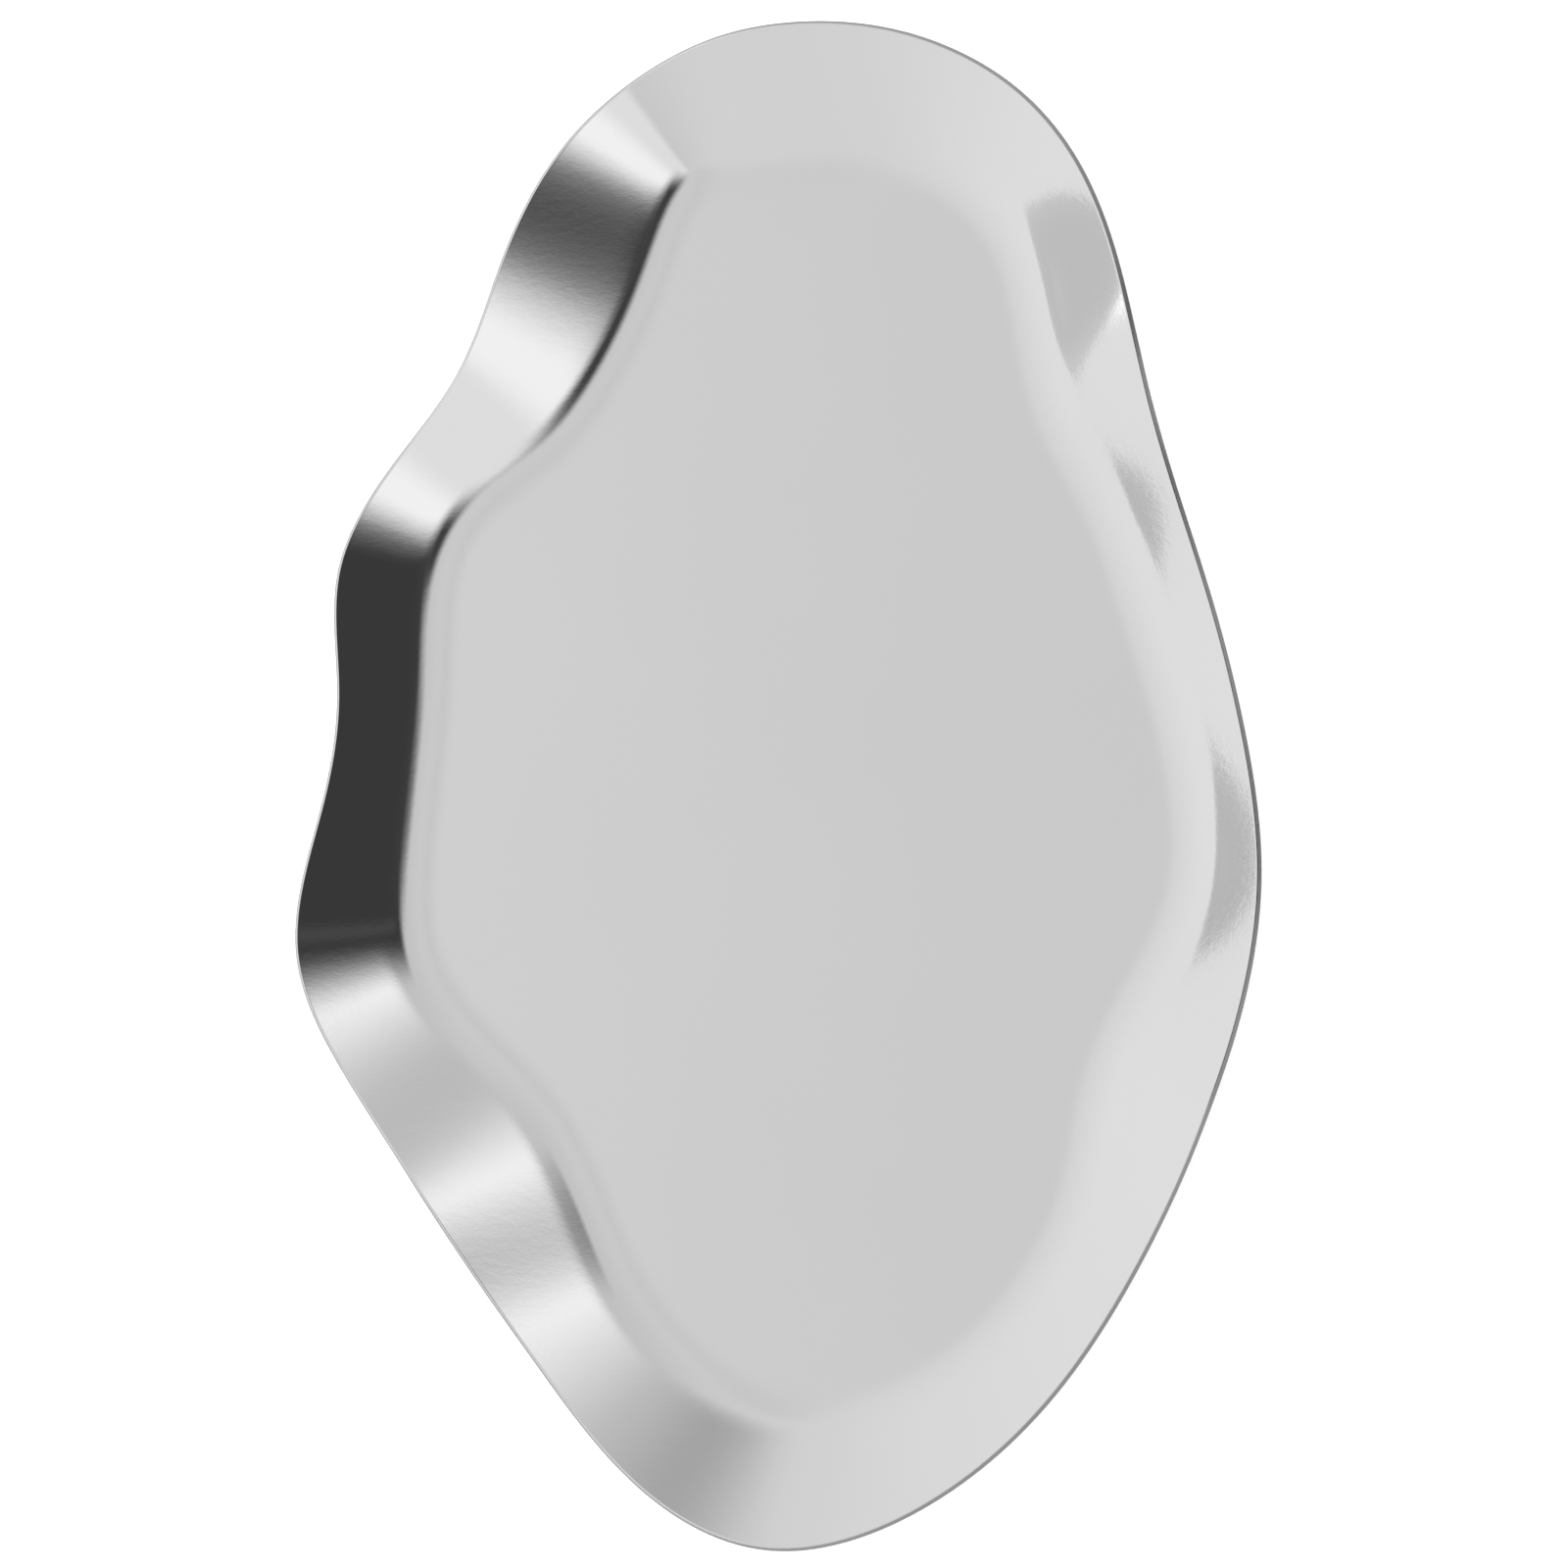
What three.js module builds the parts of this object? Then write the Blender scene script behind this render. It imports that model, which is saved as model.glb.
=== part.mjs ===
// A shallow free-form dish, pressed in one piece from stainless steel sheet.
// Millimetres, +Z up. It stands on the XY plane with +Y along its length, and the
// origin is on that plane, under the middle of its overall outline.

import * as THREE from 'three';

// Driving dimensions
const SHEET = 1.1; // sheet thickness
const BEND_REACH = 5.5; // the bend starts this far inside the bend line and ends as far outside

// How finely the curves are divided
const STEPS_PER_POINT = 5; // stations from one rim point to the next
const SAMPLES_PER_POINT = 40; // samples of the bend line, where a station looks for its foot
const BEND_STEPS = 6; // facets round the bend

// The plan of the dish, clockwise from the middle of the wide end, as control points of
// two closed cubic B-splines. The first is the inner edge of the rim: x, y.
const RIM = [
  // the +Y end
  [6.5, 124.5], [25, 122.5], [42.5, 113.5],
  // the +X side, with its waist
  [54, 99.5], [60.5, 81], [63.5, 64], [67.5, 47.5], [73.5, 29.5], [78.5, 9.5],
  [82.5, -14], [80, -35.5], [74, -54.5], [64, -74.5],
  // the -Y end
  [48.5, -100.5], [27, -119], [1.5, -127.5], [-22, -116],
  // the long slanting side up to the lobe
  [-38.5, -95.5], [-49.5, -80], [-59.5, -64], [-71, -49.5], [-84, -28],
  // the -X side, its shoulder and the second waist
  [-76.5, -2.5], [-73.5, 16.5], [-76.5, 37.5], [-64.5, 55.5], [-51, 68.5], [-44.5, 86.5],
  // the rounded corner back to the +Y end
  [-37, 103], [-26, 114.5], [-11, 122],
];

// The second is the line that the sheet is bent up along: x, y, and the angle that the
// wall leans out at there, in degrees from the floor.
const BEND_LINE = [
  // the +Y end
  [8.5, 103.5, 38], [19, 103.5, 38], [29.5, 100.5, 38],
  // the +X side, which leans out less where it bulges
  [40, 90.5, 40.5], [43.5, 75.5, 41.5], [45.5, 59.5, 36.5], [55.5, 45.5, 42], [62, 24, 37],
  [68, 5.5, 38], [71, -16.5, 40.5], [62, -33, 37], [53, -48, 36], [52, -68.5, 36],
  // the -Y end
  [38.5, -90.5, 37], [20, -103, 38], [2.5, -105.5, 38], [-13.5, -99.5, 38],
  // the long slanting side up to the lobe
  [-27.5, -85, 38], [-33, -71.5, 38], [-41, -53.5, 38], [-55.5, -41, 38], [-66.5, -28, 38],
  // the -X side and its shoulder
  [-64.5, -5, 38], [-61.5, 17, 38], [-62, 36.5, 38], [-55, 49, 38], [-39.5, 57, 38],
  // the tight corner of the floor
  [-26.5, 78, 38], [-21.5, 93, 38], [-17, 102.5, 38], [-8.5, 102.5, 38],
];

// The point at one place along a closed uniform cubic B-spline, where the whole numbers
// are the control points. It carries every number that a control point holds.
function splinePoint(controls, place) {
  const start = Math.floor(place);
  const u = place - start;
  const v = 1 - u;
  const weights = [
    (v * v * v) / 6,
    (3 * u * u * u - 6 * u * u + 4) / 6,
    (3 * v * v * v - 6 * v * v + 4) / 6,
    (u * u * u) / 6,
  ];
  const count = controls.length;
  const point = controls[0].map(() => 0);
  weights.forEach((weight, step) => {
    const control = controls[(start + step - 1 + count) % count];
    control.forEach((value, axis) => {
      point[axis] += weight * value;
    });
  });
  return point;
}

// A closed B-spline as a ring of points, with the given steps from one control to the next.
function splineRing(controls, steps) {
  return Array.from({ length: controls.length * steps }, (_, step) =>
    splinePoint(controls, step / steps));
}

// The nearest point of the bend line to a point of the rim, and the lean there. A parabola
// through three neighbouring gaps finds it between two samples.
function footOnBendLine([rimX, rimY], samples) {
  const gaps = samples.map(([x, y]) => (x - rimX) ** 2 + (y - rimY) ** 2);
  const nearest = gaps.indexOf(Math.min(...gaps));
  const back = gaps.at(nearest - 1);
  const here = gaps[nearest];
  const on = gaps[(nearest + 1) % gaps.length];
  const shift = (back - on) / (2 * (back - 2 * here + on));
  return splinePoint(BEND_LINE, (nearest + shift) / SAMPLES_PER_POINT);
}

// The sheet cut across at one station, as [distance outward from the bend line, height]:
// up the inside from the edge of the floor to the rim, and back down the outside. The
// slope grows smoothly from level to the wall's, which is straight up to the rim.
function sheetSection(run, lean) {
  const inside = [];
  const outside = [];
  for (let step = 0; step <= BEND_STEPS; step += 1) {
    const t = step / BEND_STEPS;
    const slope = Math.tan(lean) * (3 * t ** 2 - 2 * t ** 3);
    const reach = BEND_REACH * (2 * t - 1);
    const height = SHEET + 2 * BEND_REACH * Math.tan(lean) * (t ** 3 - t ** 4 / 2);
    const across = SHEET / Math.hypot(1, slope);
    inside.push([reach, height]);
    outside.push([reach + across * slope, height - across]);
  }
  // the rim is cut square to the sheet
  const rimHeight = SHEET + run * Math.tan(lean);
  inside.push([run, rimHeight]);
  outside.push([run + SHEET * Math.sin(lean), rimHeight - SHEET * Math.cos(lean)]);
  return [...inside, ...outside.reverse()];
}

// Every point of one station's section, stood up along the line from its foot to the rim.
function stationPoints(rim, samples) {
  const [footX, footY, leanDegrees] = footOnBendLine(rim, samples);
  const foot = new THREE.Vector2(footX, footY);
  const outward = new THREE.Vector2(...rim).sub(foot);
  const run = outward.length();
  outward.normalize();
  return sheetSection(run, THREE.MathUtils.degToRad(leanDegrees)).map(([reach, height]) => {
    const place = foot.clone().addScaledVector(outward, reach);
    return [place.x, place.y, height];
  });
}

// The closed skin of the sheet: strips between neighbouring sections, and the two
// faces of the floor as fans round the middle.
function dishGeometry() {
  const samples = splineRing(BEND_LINE, SAMPLES_PER_POINT);
  const stations = splineRing(RIM, STEPS_PER_POINT).map((rim) => stationPoints(rim, samples));
  const perStation = stations[0].length;
  const count = stations.length;
  const floorMiddle = count * perStation;
  const undersideMiddle = floorMiddle + 1;
  const positions = [...stations.flat(2), 0, 0, SHEET, 0, 0, 0];

  const faces = [];
  for (let station = 0; station < count; station += 1) {
    const here = station * perStation;
    const next = ((station + 1) % count) * perStation;
    for (let point = 0; point < perStation - 1; point += 1) {
      faces.push(here + point, next + point, next + point + 1);
      faces.push(here + point, next + point + 1, here + point + 1);
    }
    const last = perStation - 1;
    faces.push(floorMiddle, next, here);
    faces.push(undersideMiddle, here + last, next + last);
  }

  const geometry = new THREE.BufferGeometry();
  geometry.setAttribute('position', new THREE.Float32BufferAttribute(positions, 3));
  geometry.setIndex(faces);
  geometry.computeVertexNormals();
  return geometry;
}

function makeDish() {
  const steel = new THREE.MeshStandardMaterial({ color: 0xd5d6d7, roughness: 0.2, metalness: 1 });
  const dish = new THREE.Mesh(dishGeometry(), steel);
  dish.name = 'dish';
  return dish;
}

// Puts the middle of a piece's plan over the origin.
function centreOnOrigin(piece) {
  piece.geometry.computeBoundingBox();
  const middle = piece.geometry.boundingBox.getCenter(new THREE.Vector3());
  piece.position.set(-middle.x, -middle.y, 0);
}

const dish = makeDish();
centreOnOrigin(dish);

const model = new THREE.Group();
model.add(dish);

export default model;
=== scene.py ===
"""A free-form dish pressed from stainless steel sheet, on a pale studio table."""

import math

import bpy
import numpy as np
from mathutils import Matrix, Vector


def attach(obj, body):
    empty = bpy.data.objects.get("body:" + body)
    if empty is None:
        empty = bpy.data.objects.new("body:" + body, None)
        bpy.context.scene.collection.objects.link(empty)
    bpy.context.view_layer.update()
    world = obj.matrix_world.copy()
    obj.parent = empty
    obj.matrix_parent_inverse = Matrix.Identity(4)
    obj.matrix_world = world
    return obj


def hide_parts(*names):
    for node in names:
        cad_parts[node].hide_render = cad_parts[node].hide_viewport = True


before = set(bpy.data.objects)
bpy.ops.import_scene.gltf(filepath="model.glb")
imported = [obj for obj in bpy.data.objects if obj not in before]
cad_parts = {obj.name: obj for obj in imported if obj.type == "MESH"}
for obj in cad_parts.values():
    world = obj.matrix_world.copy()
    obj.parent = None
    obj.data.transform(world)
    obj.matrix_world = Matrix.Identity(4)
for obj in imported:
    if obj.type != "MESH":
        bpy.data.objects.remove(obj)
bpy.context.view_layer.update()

MM = 0.001

# The sheet, as the CAD part has it
SHEET = 1.1 * MM  # thickness
BEND_REACH = 5.5 * MM  # the bend starts this far inside the bend line and ends as far outside
EDGE_BREAK = 0.14 * MM  # the cut edge has its sharp corners taken off

# How finely the surface is divided
STEPS_PER_POINT = 14  # stations from one outline point to the next
SAMPLES_PER_POINT = 40  # samples of the bend line, where a station looks for its foot
FLOOR_RINGS = 9
FLOOR_CROWDING = 1.6  # above 1, the rings lie closer together near the floor's edge
BEND_STEPS = 16
WALL_STEPS = 8
BREAK_STEPS = 3  # strips round each corner of the cut edge
FLAT_STEPS = 3  # strips across the flat of the cut edge

# The dish in plan, clockwise from the middle of the wide end, as control points of two
# closed curves in millimetres. The first is the inner edge of the rim.
RIM = [
    (6.5, 124.5), (25, 122.5), (42.5, 113.5), (54, 99.5), (60.5, 81), (63.5, 64),
    (67.5, 47.5), (73.5, 29.5), (78.5, 9.5), (82.5, -14), (80, -35.5), (74, -54.5),
    (64, -74.5), (48.5, -100.5), (27, -119), (1.5, -127.5), (-22, -116), (-38.5, -95.5),
    (-49.5, -80), (-59.5, -64), (-71, -49.5), (-84, -28), (-76.5, -2.5), (-73.5, 16.5),
    (-76.5, 37.5), (-64.5, 55.5), (-51, 68.5), (-44.5, 86.5), (-37, 103), (-26, 114.5),
    (-11, 122),
]
# The second is the line that the sheet is bent up along, with the angle that the wall
# leans out at there, in degrees from the floor.
BEND_LINE = [
    (8.5, 103.5, 38), (19, 103.5, 38), (29.5, 100.5, 38), (40, 90.5, 40.5),
    (43.5, 75.5, 41.5), (45.5, 59.5, 36.5), (55.5, 45.5, 42), (62, 24, 37),
    (68, 5.5, 38), (71, -16.5, 40.5), (62, -33, 37), (53, -48, 36), (52, -68.5, 36),
    (38.5, -90.5, 37), (20, -103, 38), (2.5, -105.5, 38), (-13.5, -99.5, 38),
    (-27.5, -85, 38), (-33, -71.5, 38), (-41, -53.5, 38), (-55.5, -41, 38),
    (-66.5, -28, 38), (-64.5, -5, 38), (-61.5, 17, 38), (-62, 36.5, 38), (-55, 49, 38),
    (-39.5, 57, 38), (-26.5, 78, 38), (-21.5, 93, 38), (-17, 102.5, 38), (-8.5, 102.5, 38),
]

# The camera
VIEW_TOWARDS_X = math.radians(15.5)  # leans from straight above towards +X
VIEW_TOWARDS_Y = math.radians(-2.7)
CAMERA_DISTANCE = 1.0  # metres
CAMERA_LENS = 140.3  # focal length in millimetres
AIM = Vector((2.5, 0, 11)) * MM

# The table
TABLE_HALF_WIDTH = 4.0  # metres
TABLE_GAP = 0.05 * MM  # the table top lies this far below the dish

# The finishes
STEEL = 0.76  # how much light polished stainless steel gives back
COOLNESS = 1.002  # blue against red and green
NOISE_LOW = 0.3  # nearly all of a noise texture lies between these two
NOISE_HIGH = 0.7

# The white tent round the table
TENT_BRIGHTNESS = 0.79
TENT_SLOPE = -0.165  # added straight towards +X, and taken off straight towards -X
LEAST_AHEAD = 0.001  # keeps a panel's measures finite in directions that face away from it


def spline_points(controls, places):
    """Points of a closed uniform cubic B-spline. Whole numbers in places are control points."""
    controls = np.array(controls, float)
    before = np.floor(places).astype(int)
    u = (places - before)[:, None]
    v = 1 - u
    weights = (v**3, 3 * u**3 - 6 * u**2 + 4, 3 * v**3 - 6 * v**2 + 4, u**3)
    near = [controls[(before + step) % len(controls)] for step in (-1, 0, 1, 2)]
    return sum(weight * point for weight, point in zip(weights, near)) / 6


def feet_on_bend_line(rim):
    """For each rim point, the nearest point of the bend line, with the lean there."""
    places = np.arange(len(BEND_LINE) * SAMPLES_PER_POINT) / SAMPLES_PER_POINT
    bend = spline_points(BEND_LINE, places)[:, :2]
    gaps = ((rim[:, None] - bend[None]) ** 2).sum(axis=2)
    nearest = gaps.argmin(axis=1)
    row = np.arange(len(rim))
    # a parabola through three neighbouring gaps finds the foot between two samples
    back, here, on = (gaps[row, (nearest + step) % len(bend)] for step in (-1, 0, 1))
    shift = (back - on) / (2 * (back - 2 * here + on))
    return spline_points(BEND_LINE, (nearest + shift) / SAMPLES_PER_POINT)


def bend_sections(steepness):
    """Both sides of the sheet round the bend, as (reach, height) from the floor's edge to the
    wall's foot. The slope grows smoothly from level to the wall's, with no sudden start."""
    t = np.linspace(0, 1, BEND_STEPS + 1)
    slope = steepness * (3 * t**2 - 2 * t**3)
    reach = BEND_REACH * (2 * t - 1)
    height = SHEET + 2 * BEND_REACH * steepness * (t**3 - t**4 / 2)
    across = SHEET / np.sqrt(1 + slope**2)
    inside = np.stack([reach, height], axis=1)
    outside = np.stack([reach + across * slope, height - across], axis=1)
    return inside, outside


def broken_corner(corner, arriving, leaving):
    """The cut edge's corner, rounded between two directions at right angles."""
    turn = np.linspace(0, math.pi / 2, BREAK_STEPS + 1)
    centre = corner - EDGE_BREAK * arriving + EDGE_BREAK * leaving
    return [centre + EDGE_BREAK * (math.sin(t) * arriving - math.cos(t) * leaving) for t in turn]


def wall_points(foot, top):
    """Evenly spaced points up the straight wall, between its foot and its top. The last one
    is close to the top, so that the wall's shading stays even right up to the cut edge."""
    up = (top - foot) / np.linalg.norm(top - foot)
    last = top - EDGE_BREAK * up
    return [foot + (last - foot) * step / WALL_STEPS for step in range(1, WALL_STEPS + 1)]


def station_section(run, lean):
    """The sheet cut across at one station: up the inside, over the cut edge and down the outside."""
    up = np.array([math.cos(lean), math.sin(lean)])
    out = np.array([math.sin(lean), -math.cos(lean)])
    inside, outside = bend_sections(math.tan(lean))
    rim = np.array([run, SHEET + run * math.tan(lean)])
    upper = broken_corner(rim, up, out)
    lower = broken_corner(rim + SHEET * out, out, -up)
    # two points close to the corners keep the shading of the flat between them even
    flat = [upper[-1] + EDGE_BREAK / 2 * out, lower[0] - EDGE_BREAK / 2 * out]
    inner_wall = wall_points(inside[-1], upper[0])
    outer_wall = wall_points(outside[-1], lower[-1])
    edge = [*upper, *flat, *lower]
    return np.array([*inside, *inner_wall, *edge, *outer_wall[::-1], *outside[::-1]])


def dish_points():
    """The whole skin as a grid: station, then point, then x, y and z."""
    places = np.arange(len(RIM) * STEPS_PER_POINT) / STEPS_PER_POINT
    rim = spline_points(RIM, places)
    feet = feet_on_bend_line(rim)
    leans = np.radians(feet[:, 2])
    feet = feet[:, :2]
    runs = np.linalg.norm(rim - feet, axis=1)
    outward = (rim - feet) / runs[:, None]
    sections = np.array([station_section(run * MM, lean) for run, lean in zip(runs, leans)])
    plan = feet[:, None] * MM + outward[:, None] * sections[:, :, :1]
    return np.concatenate([plan, sections[:, :, 1:]], axis=2)


def floor_rings(edge):
    """Rings from the edge of the floor inwards, closer together near the edge."""
    middle = edge.mean(axis=0)
    shares = 1 - (np.arange(1, FLOOR_RINGS) / FLOOR_RINGS) ** FLOOR_CROWDING
    return [middle + (edge - middle) * share for share in shares]


def dish_grid(skin):
    """The whole surface as a grid: station, then point. Each station's points run from the
    middle of the floor over the cut edge to the middle of the underside."""
    inside_floor = floor_rings(skin[:, 0])[::-1]
    underside = floor_rings(skin[:, -1])
    return np.stack([*inside_floor, *skin.transpose(1, 0, 2), *underside], axis=1)


def dish_faces(stations, per_station):
    """The strips between neighbouring stations, and the fans that close the floor and the
    underside at their middles. With each face comes whether it lies on the cut edge."""
    floor_middle = stations * per_station
    underside_middle = floor_middle + 1
    last = per_station - 1
    cut_start = FLOOR_RINGS + BEND_STEPS + WALL_STEPS + BREAK_STEPS
    cut_end = cut_start + FLAT_STEPS + BREAK_STEPS
    faces = []
    on_cut = []
    for station in range(stations):
        here = station * per_station
        after = (station + 1) % stations * per_station
        for point in range(last):
            faces.append((here + point, after + point, after + point + 1, here + point + 1))
            on_cut.append(cut_start <= point < cut_end)
        faces.append((floor_middle, after, here))
        faces.append((underside_middle, here + last, after + last))
        on_cut += [False, False]
    return faces, on_cut


def make_dish():
    """The dish as one closed piece in two finishes, centred as the CAD part is."""
    grid = dish_grid(dish_points())
    corners = grid.reshape(-1, 3)
    middles = [grid[:, 0].mean(axis=0), grid[:, -1].mean(axis=0)]
    centre = (corners.max(axis=0) + corners.min(axis=0)) / 2
    points = np.array([*corners, *middles]) - [centre[0], centre[1], 0]
    faces, on_cut = dish_faces(*grid.shape[:2])

    mesh = bpy.data.meshes.new("pressed_dish")
    mesh.from_pydata(points.tolist(), [], faces)
    mesh.materials.append(rolled_steel())
    mesh.materials.append(cut_steel_painted_shade())
    mesh.polygons.foreach_set("material_index", [int(cut) for cut in on_cut])
    mesh.polygons.foreach_set("use_smooth", [True] * len(faces))
    mesh.update()
    dish = bpy.data.objects.new("pressed_dish", mesh)
    bpy.context.scene.collection.objects.link(dish)
    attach(dish, "root")
    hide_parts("dish")


# Materials

def new_material(name):
    """A material with its nodes, its links and its Principled shader."""
    material = bpy.data.materials.new(name)
    material.use_nodes = True
    nodes = material.node_tree.nodes
    return material, nodes, material.node_tree.links, nodes["Principled BSDF"]


def stretched_noise(nodes, links, stretch, scale, detail):
    """Noise laid over the piece in its own frame, stretched by a factor on each axis."""
    place = nodes.new("ShaderNodeTexCoord")
    mapping = nodes.new("ShaderNodeMapping")
    mapping.inputs["Scale"].default_value = stretch
    noise = nodes.new("ShaderNodeTexNoise")
    noise.inputs["Scale"].default_value = scale
    noise.inputs["Detail"].default_value = detail
    links.new(place.outputs["Object"], mapping.inputs["Vector"])
    links.new(mapping.outputs["Vector"], noise.inputs["Vector"])
    return noise.outputs["Fac"]


def spread(nodes, links, value, low, high):
    """Brings a noise value into the range that a shader input needs."""
    ranged = nodes.new("ShaderNodeMapRange")
    ranged.inputs["From Min"].default_value = NOISE_LOW
    ranged.inputs["From Max"].default_value = NOISE_HIGH
    ranged.inputs["To Min"].default_value = low
    ranged.inputs["To Max"].default_value = high
    links.new(value, ranged.inputs["Value"])
    return ranged.outputs["Result"]


def tint(nodes, links, value, dark, light):
    """A grey between two levels, by a value from 0 to 1."""
    mix = nodes.new("ShaderNodeMix")
    mix.data_type = "RGBA"
    mix.inputs["A"].default_value = (dark, dark, dark * COOLNESS, 1)
    mix.inputs["B"].default_value = (light, light, light * COOLNESS, 1)
    links.new(value, mix.inputs["Factor"])
    return mix.outputs["Result"]


def bump(nodes, links, height, distance, under=None):
    """Relief of the given depth, laid over any relief under it."""
    node = nodes.new("ShaderNodeBump")
    node.inputs["Distance"].default_value = distance
    links.new(height, node.inputs["Height"])
    if under is not None:
        links.new(under, node.inputs["Normal"])
    return node.outputs["Normal"]


def rolled_steel():
    """Bright rolled sheet: fine streaks across the dish, a faint ripple and a faint cloud."""
    material, nodes, links, shader = new_material("rolled_steel")
    shader.inputs["Metallic"].default_value = 1
    streaks = stretched_noise(nodes, links, stretch=(0.12, 1, 1), scale=2600, detail=4)
    ripple = stretched_noise(nodes, links, stretch=(0.15, 1, 1), scale=800, detail=2)
    cloud = stretched_noise(nodes, links, stretch=(1, 1, 1), scale=22, detail=3)
    colour = tint(nodes, links, cloud, dark=STEEL * 0.985, light=STEEL * 1.015)
    links.new(colour, shader.inputs["Base Color"])
    links.new(spread(nodes, links, streaks, low=0.05, high=0.09), shader.inputs["Roughness"])
    rippled = bump(nodes, links, ripple, distance=0.006 * MM)
    streaked = bump(nodes, links, streaks, distance=0.004 * MM, under=rippled)
    links.new(streaked, shader.inputs["Normal"])
    return material


def cut_steel_painted_shade():
    """The sheared edge of the sheet: duller, with a fine grain, and darker in colour as painted
    shade for the dark surroundings that the edge mirrors.
    """
    material, nodes, links, shader = new_material("cut_steel_painted_shade")
    shader.inputs["Metallic"].default_value = 1
    grain = stretched_noise(nodes, links, stretch=(1, 1, 6), scale=1500, detail=4)
    # painted shade: the base colour is 0.2 to 0.28 of the steel's, far darker than the edge's own
    # steel, standing in for the dark it mirrors
    colour = tint(nodes, links, grain, dark=STEEL * 0.2, light=STEEL * 0.28)
    links.new(colour, shader.inputs["Base Color"])
    links.new(spread(nodes, links, grain, low=0.12, high=0.22), shader.inputs["Roughness"])
    links.new(bump(nodes, links, grain, distance=0.01 * MM), shader.inputs["Normal"])
    return material


def table_white():
    """A pale table top that glows a little, so that it shows hardly any shadow. It is clear
    from below, so that the dish's underside can be looked at."""
    material, nodes, links, shader = new_material("table_white")
    shader.inputs["Roughness"].default_value = 0.6
    shader.inputs["Specular IOR Level"].default_value = 0.2
    shader.inputs["Emission Color"].default_value = (1, 1, 1, 1)
    shader.inputs["Emission Strength"].default_value = 0.45
    mottle = stretched_noise(nodes, links, stretch=(1, 1, 1), scale=9, detail=2)
    links.new(tint(nodes, links, mottle, dark=0.88, light=0.9), shader.inputs["Base Color"])
    side = nodes.new("ShaderNodeNewGeometry")
    clear = nodes.new("ShaderNodeBsdfTransparent")
    one_sided = nodes.new("ShaderNodeMixShader")
    links.new(side.outputs["Backfacing"], one_sided.inputs["Fac"])
    links.new(shader.outputs["BSDF"], one_sided.inputs[1])
    links.new(clear.outputs["BSDF"], one_sided.inputs[2])
    links.new(one_sided.outputs["Shader"], nodes["Material Output"].inputs["Surface"])
    return material


# Studio

def make_table():
    """A square table top under the dish, wide enough to fill any view."""
    half = TABLE_HALF_WIDTH
    mesh = bpy.data.meshes.new("table")
    corners = [(-half, -half), (half, -half), (half, half), (-half, half)]
    mesh.from_pydata([(x, y, -TABLE_GAP) for x, y in corners], [], [(0, 1, 2, 3)])
    mesh.materials.append(table_white())
    table = bpy.data.objects.new("table", mesh)
    bpy.context.scene.collection.objects.link(table)


def direction(azimuth, elevation):
    """The unit vector at an azimuth from +X towards +Y and an elevation, both in degrees."""
    turn, rise = math.radians(azimuth), math.radians(elevation)
    level = math.cos(rise)
    return (level * math.cos(turn), level * math.sin(turn), math.sin(rise))


# What the polished steel sees round it, as soft-edged panels, each laid over those before
# it: (azimuth, elevation, half width, half height, softness of the sides, softness of the
# top and bottom, brightness). All but the brightness are in degrees.
PANELS = [
    (180, 84, 40, 9, 20, 18, 0.745),  # overhead, a little duller
    (77, 21, 12, 11, 24, 22, 0.47),  # far wall, in half shade
    (-50, 38, 19, 15, 6, 8, 0.95),  # soft lamp on the one hand
    (-41, 39, 10, 16, 14, 8, 1.15),  # its bright middle
    (30, 26, 15, 8, 26, 8, 1.2),  # soft lamp on the other
    (0.5, 24, 22.5, 31, 22, 8, 0.05),  # the tent's open, dark end
    (11, 33, 1.5, 14, 3, 10, 0.08),  # cord hanging in it
    (-29, 56, 17, 8, 24, 12, 0.06),  # gap over the lamp
]


def calculate(nodes, links, operation, first, second=None):
    """One Math node. Its inputs are outputs of other nodes or plain numbers."""
    node = nodes.new("ShaderNodeMath")
    node.operation = operation
    for socket, value in zip(node.inputs, (first, second)):
        if isinstance(value, bpy.types.NodeSocket):
            links.new(value, socket)
        elif value is not None:
            socket.default_value = value
    return node.outputs["Value"]


def along(nodes, links, view, axis):
    """How far the direction of view runs along a fixed unit vector."""
    dot = nodes.new("ShaderNodeVectorMath")
    dot.operation = "DOT_PRODUCT"
    links.new(view, dot.inputs[0])
    dot.inputs[1].default_value = axis
    return dot.outputs["Value"]


def inside_panel(nodes, links, sideways, ahead, half, soft):
    """1 between a panel's two opposite edges and 0 beyond them, with a soft change."""
    offset = calculate(nodes, links, "DIVIDE", calculate(nodes, links, "ABSOLUTE", sideways), ahead)
    share = nodes.new("ShaderNodeMapRange")
    share.interpolation_type = "SMOOTHSTEP"
    share.inputs["From Min"].default_value = math.tan(math.radians(half + soft / 2))
    share.inputs["From Max"].default_value = math.tan(math.radians(max(half - soft / 2, 0)))
    links.new(offset, share.inputs["Value"])
    return share.outputs["Result"]


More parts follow.
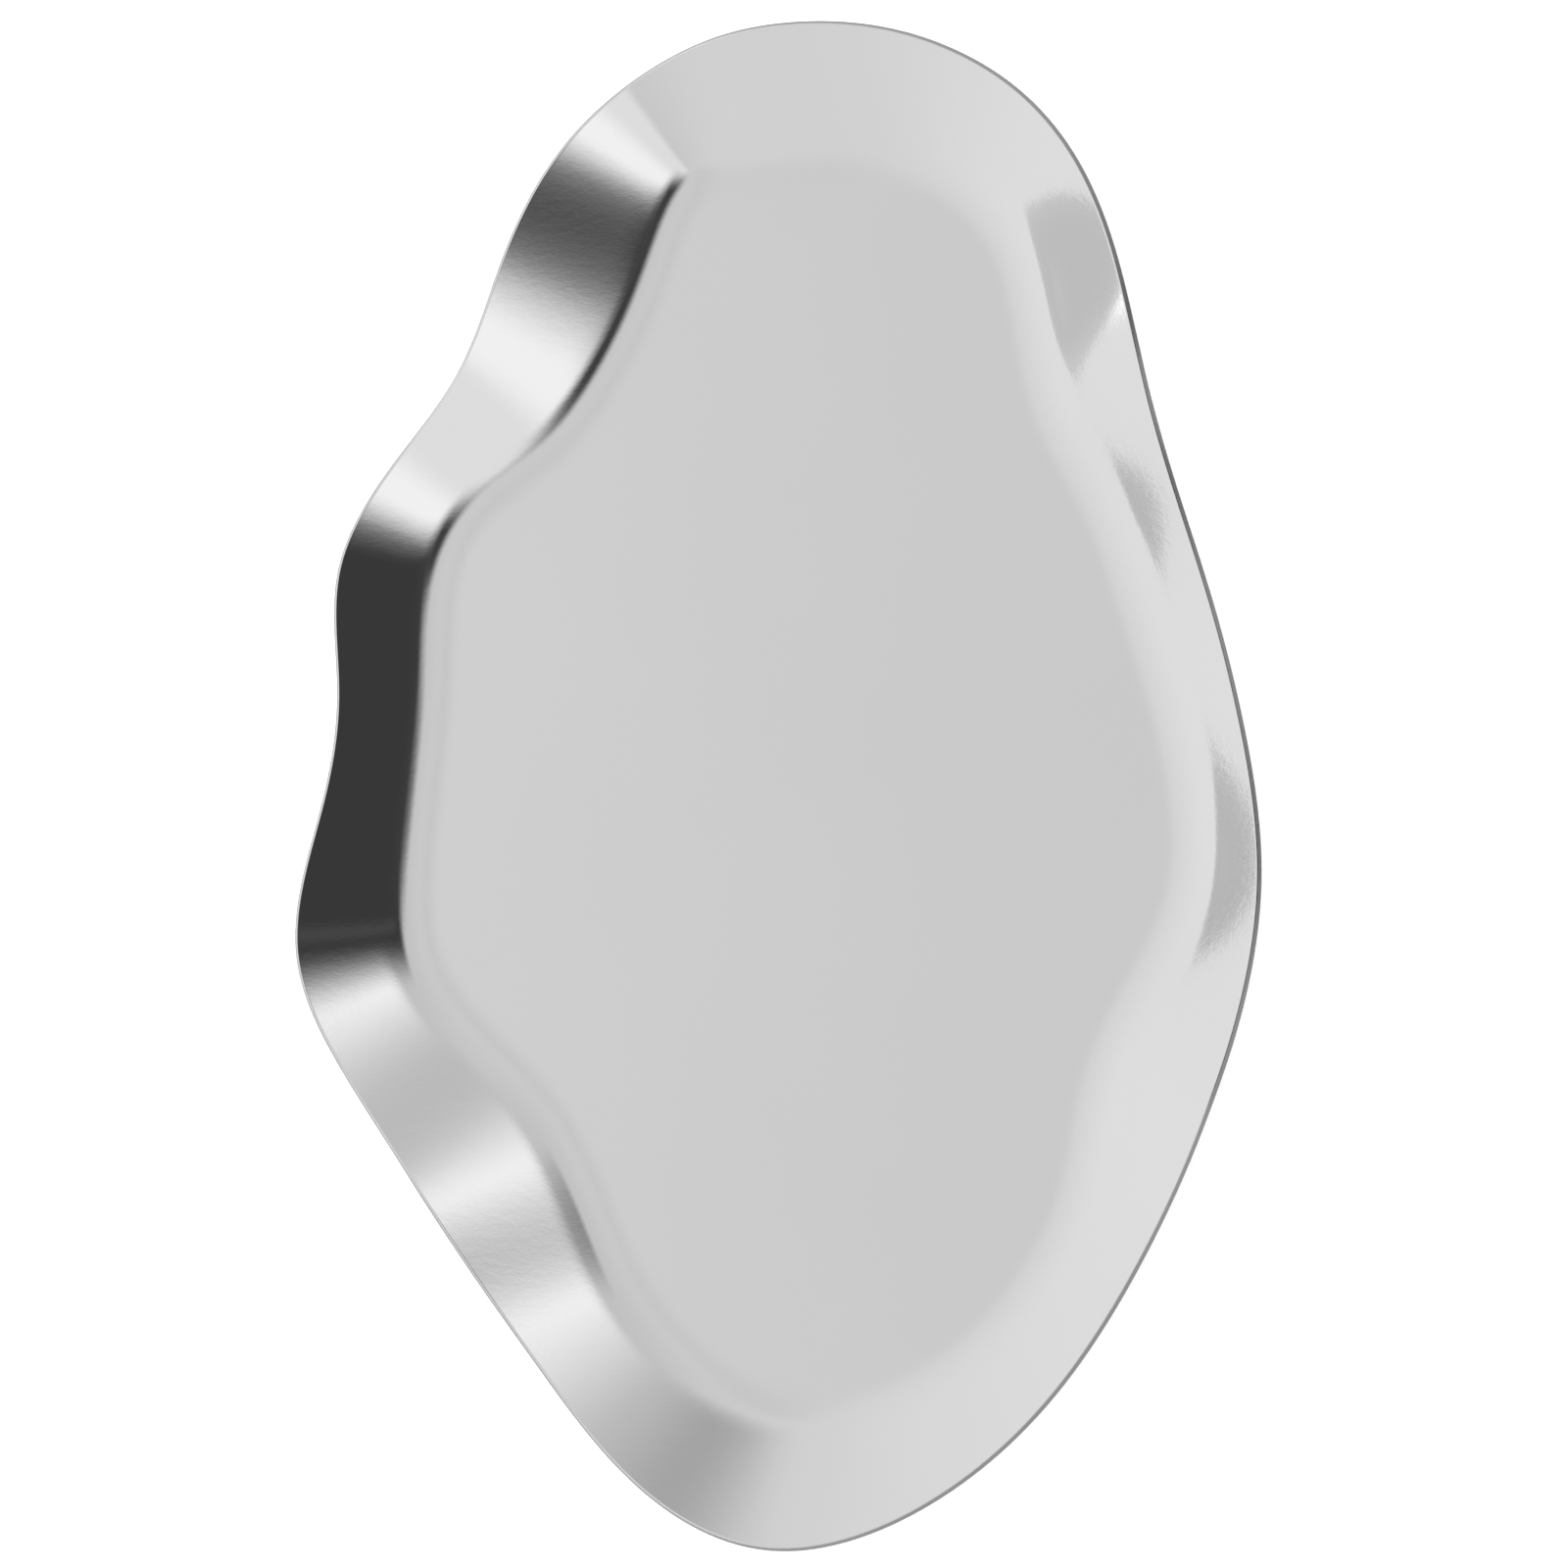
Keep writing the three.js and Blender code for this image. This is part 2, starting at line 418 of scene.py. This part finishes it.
def make_surroundings():
    """A white tent, a little brighter towards -X, with lamps and dark openings in it."""
    world = bpy.data.worlds.new("white_tent")
    world.use_nodes = True
    nodes, links = world.node_tree.nodes, world.node_tree.links
    view = nodes.new("ShaderNodeTexCoord").outputs["Generated"]
    towards_x = along(nodes, links, view, (1, 0, 0))
    slope = calculate(nodes, links, "MULTIPLY", towards_x, TENT_SLOPE)
    level = calculate(nodes, links, "ADD", slope, TENT_BRIGHTNESS)
    for azimuth, elevation, half_width, half_height, soft_width, soft_height, brightness in PANELS:
        facing = direction(azimuth, elevation)
        right = direction(azimuth + 90, 0)
        up = direction(azimuth, elevation + 90)
        towards_panel = along(nodes, links, view, facing)
        ahead = calculate(nodes, links, "MAXIMUM", towards_panel, LEAST_AHEAD)
        across = along(nodes, links, view, right)
        upward = along(nodes, links, view, up)
        wide = inside_panel(nodes, links, across, ahead, half_width, soft_width)
        high = inside_panel(nodes, links, upward, ahead, half_height, soft_height)
        mix = nodes.new("ShaderNodeMix")
        links.new(calculate(nodes, links, "MULTIPLY", wide, high), mix.inputs["Factor"])
        links.new(level, mix.inputs["A"])
        mix.inputs["B"].default_value = brightness
        level = mix.outputs["Result"]
    links.new(level, nodes["Background"].inputs["Color"])
    bpy.context.scene.world = world


def make_lamp(name, azimuth, elevation, distance, size, power):
    """A large soft lamp that lights the table and isn't itself mirrored in the steel."""
    lamp = bpy.data.lights.new(name, "AREA")
    lamp.shape = "DISK"
    lamp.size = size
    lamp.energy = power
    place = Vector(direction(azimuth, elevation)) * distance
    lamp_object = bpy.data.objects.new(name, lamp)
    lamp_object.location = place
    lamp_object.rotation_mode = "QUATERNION"
    lamp_object.rotation_quaternion = place.to_track_quat("Z", "Y")
    lamp_object.visible_glossy = False
    lamp_object.visible_camera = False
    bpy.context.scene.collection.objects.link(lamp_object)


def make_camera():
    """A long lens high over the dish, as the photograph was taken."""
    towards = Vector((math.tan(VIEW_TOWARDS_X), math.tan(VIEW_TOWARDS_Y), 1)).normalized()
    camera = bpy.data.objects.new("camera", bpy.data.cameras.new("camera"))
    camera.data.lens = CAMERA_LENS
    camera.data.clip_start = 0.05
    camera.data.clip_end = 20
    right = Vector((0, 1, 0)).cross(towards).normalized()
    up = towards.cross(right)
    turn = Matrix((right, up, towards)).transposed()
    camera.matrix_world = Matrix.LocRotScale(AIM + CAMERA_DISTANCE * towards, turn, None)
    bpy.context.scene.collection.objects.link(camera)
    bpy.context.scene.camera = camera


make_dish()
make_table()
make_surroundings()
make_lamp("overhead_lamp", azimuth=120, elevation=70, distance=1.6, size=1.4, power=22)
make_camera()
bpy.context.scene.view_settings.view_transform = "Standard"
